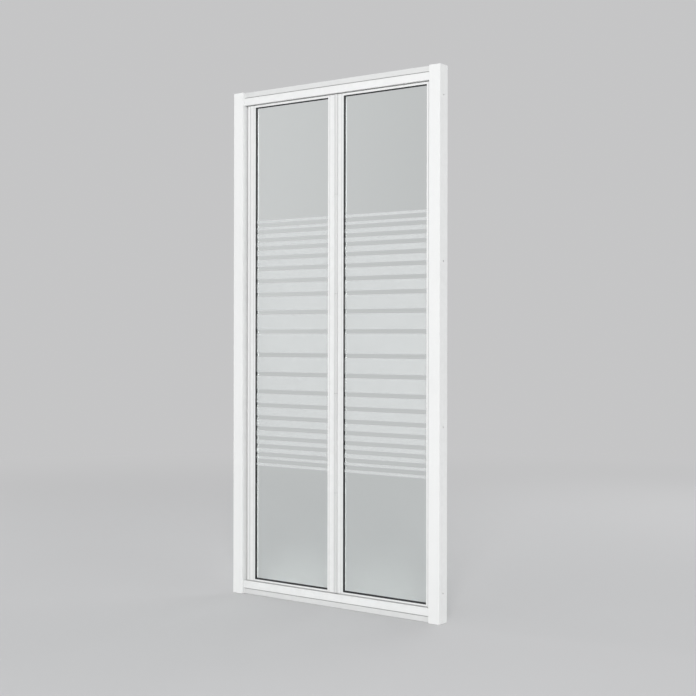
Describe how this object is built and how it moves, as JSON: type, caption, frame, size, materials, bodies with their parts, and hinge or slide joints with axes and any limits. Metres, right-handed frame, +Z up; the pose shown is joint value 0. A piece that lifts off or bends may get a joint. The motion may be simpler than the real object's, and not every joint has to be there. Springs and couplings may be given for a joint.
{
  "type": "bifold shower door",
  "caption": "White framed bifold shower door with two hinged glass leaves, frosted bands, wall profiles, top and bottom guide rails.",
  "frame": {"origin": "middle of the door's footprint, on the shower tray", "axes": "+X along the opening from the pivot side to the closing side, +Y into the shower, +Z up"},
  "size_m": [0.9, 0.048, 1.85],
  "materials": {
    "white_coat": "satin",
    "clear_glass": "gloss",
    "frosted_print": "matte",
    "black_rubber": "matte",
    "clear_vinyl": "satin",
    "white_nylon": "satin",
    "grey_nylon": "satin",
    "magnet_strip": "satin",
    "stainless_steel": "satin"
  },
  "bodies": {
    "frame": {"wall_profile_left": "white_coat", "wall_profile_right": "white_coat", "jamb_left": "white_coat", "jamb_right": "white_coat", "top_rail": "white_coat", "bottom_rail": "white_coat", "profile_caps": "white_nylon", "corner_screws": "stainless_steel", "jamb_screws": "stainless_steel", "pivot_block_top": "white_nylon", "pivot_block_bottom": "white_nylon", "pivot_block_screws": "stainless_steel", "pivot_bush_top": "grey_nylon", "pivot_bush_bottom": "grey_nylon", "jamb_magnet_strip": "magnet_strip", "jamb_lip_seal": "clear_vinyl"},
    "left_leaf": {"pivot_stile": "white_coat", "hinge_stile_left": "white_coat", "top_member_left": "white_coat", "bottom_member_left": "white_coat", "glass_left": "clear_glass", "frosted_bands_left": "frosted_print", "glazing_gasket_left": "black_rubber", "pivot_plug_top": "white_nylon", "pivot_plug_bottom": "white_nylon", "pivot_pin_top": "stainless_steel", "pivot_pin_bottom": "stainless_steel", "hinge_stile_caps_left": "white_nylon", "leaf_screws_left": "stainless_steel", "hinge_pin": "stainless_steel", "hinge_pin_caps": "white_nylon", "centre_seal": "clear_vinyl", "drip_seal_left": "clear_vinyl"},
    "right_leaf": {"hinge_stile_right": "white_coat", "leading_stile": "white_coat", "top_member_right": "white_coat", "bottom_member_right": "white_coat", "glass_right": "clear_glass", "frosted_bands_right": "frosted_print", "glazing_gasket_right": "black_rubber", "hinge_bushes": "grey_nylon", "guide_plug_top": "white_nylon", "guide_plug_bottom": "white_nylon", "guide_pin_top": "stainless_steel", "guide_pin_bottom": "stainless_steel", "hinge_stile_caps_right": "white_nylon", "leaf_screws_right": "stainless_steel", "leading_magnet_strip": "magnet_strip", "drip_seal_right": "clear_vinyl"},
    "top_guide": {"guide_shoe_top": "grey_nylon"},
    "bottom_guide": {"guide_shoe_bottom": "grey_nylon"}
  },
  "joints": [
    {"name": "left_leaf_pivot", "type": "hinge", "parent": "frame", "child": "left_leaf", "pos_m": [-0.3775, 0.007, 0.0495], "axis": [0, 0, 1], "range_deg": [0, 84]},
    {"name": "centre_hinge", "type": "hinge", "parent": "left_leaf", "child": "right_leaf", "pos_m": [0.0095, -0.0045, 0.925], "axis": [0, 0, 1], "range_deg": [-168, 0]},
    {"name": "top_guide_turn", "type": "hinge", "parent": "right_leaf", "child": "top_guide", "pos_m": [0.3965, 0.007, 1.815], "axis": [0, 0, 1], "range_deg": [0, 84]},
    {"name": "bottom_guide_turn", "type": "hinge", "parent": "right_leaf", "child": "bottom_guide", "pos_m": [0.3965, 0.007, 0.035], "axis": [0, 0, 1], "range_deg": [0, 84]}
  ],
  "couplings": [
    {"joint": "centre_hinge", "follows": "left_leaf_pivot", "ratio": -2},
    {"joint": "top_guide_turn", "follows": "left_leaf_pivot", "ratio": 1},
    {"joint": "bottom_guide_turn", "follows": "left_leaf_pivot", "ratio": 1}
  ]
}
